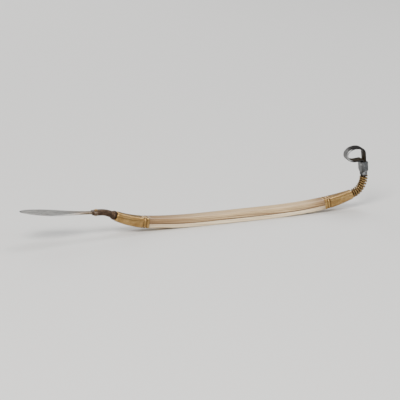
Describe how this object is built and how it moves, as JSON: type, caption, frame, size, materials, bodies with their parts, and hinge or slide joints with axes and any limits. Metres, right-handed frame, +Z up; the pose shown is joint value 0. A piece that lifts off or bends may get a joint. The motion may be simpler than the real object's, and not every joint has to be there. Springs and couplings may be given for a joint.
{
  "type": "sculpting spatula",
  "caption": "Double-ended sculpting spatula with a laminated wooden grip, brass ferrules, a cranked steel blade and a hooked ribbon loop.",
  "frame": {"origin": "centre of the grip's flat underside, midway between the two ferrules", "axes": "+X along the grip towards the ribbon loop, +Z up from the grip's flat underside, the way both ends rise, and +Y across the tool"},
  "size_m": [0.1792, 0.0106, 0.0321],
  "materials": {
    "tan_wood": "satin varnish",
    "pale_wood": "satin varnish",
    "dark_wood": "satin varnish",
    "brass": "aged and hand polished",
    "blade_steel": "ground satin",
    "dark_steel": "forged, browned",
    "black_steel": "hardened black, bright at the edges"
  },
  "bodies": {
    "root": {"lower_wood_strip": "pale_wood", "dark_veneer": "dark_wood", "upper_wood_strip": "tan_wood", "blade_ferrule": "brass", "blade_ferrule_pin": "brass", "blade_neck": "dark_steel", "spatula_blade": "blade_steel", "blade_rivet": "brass", "loop_ferrule": "brass", "loop_ferrule_pin": "brass", "loop_shank": "blade_steel", "wire_whipping": "brass", "loop_collar": "blade_steel", "loop_ribbon": "black_steel"}
  },
  "joints": []
}
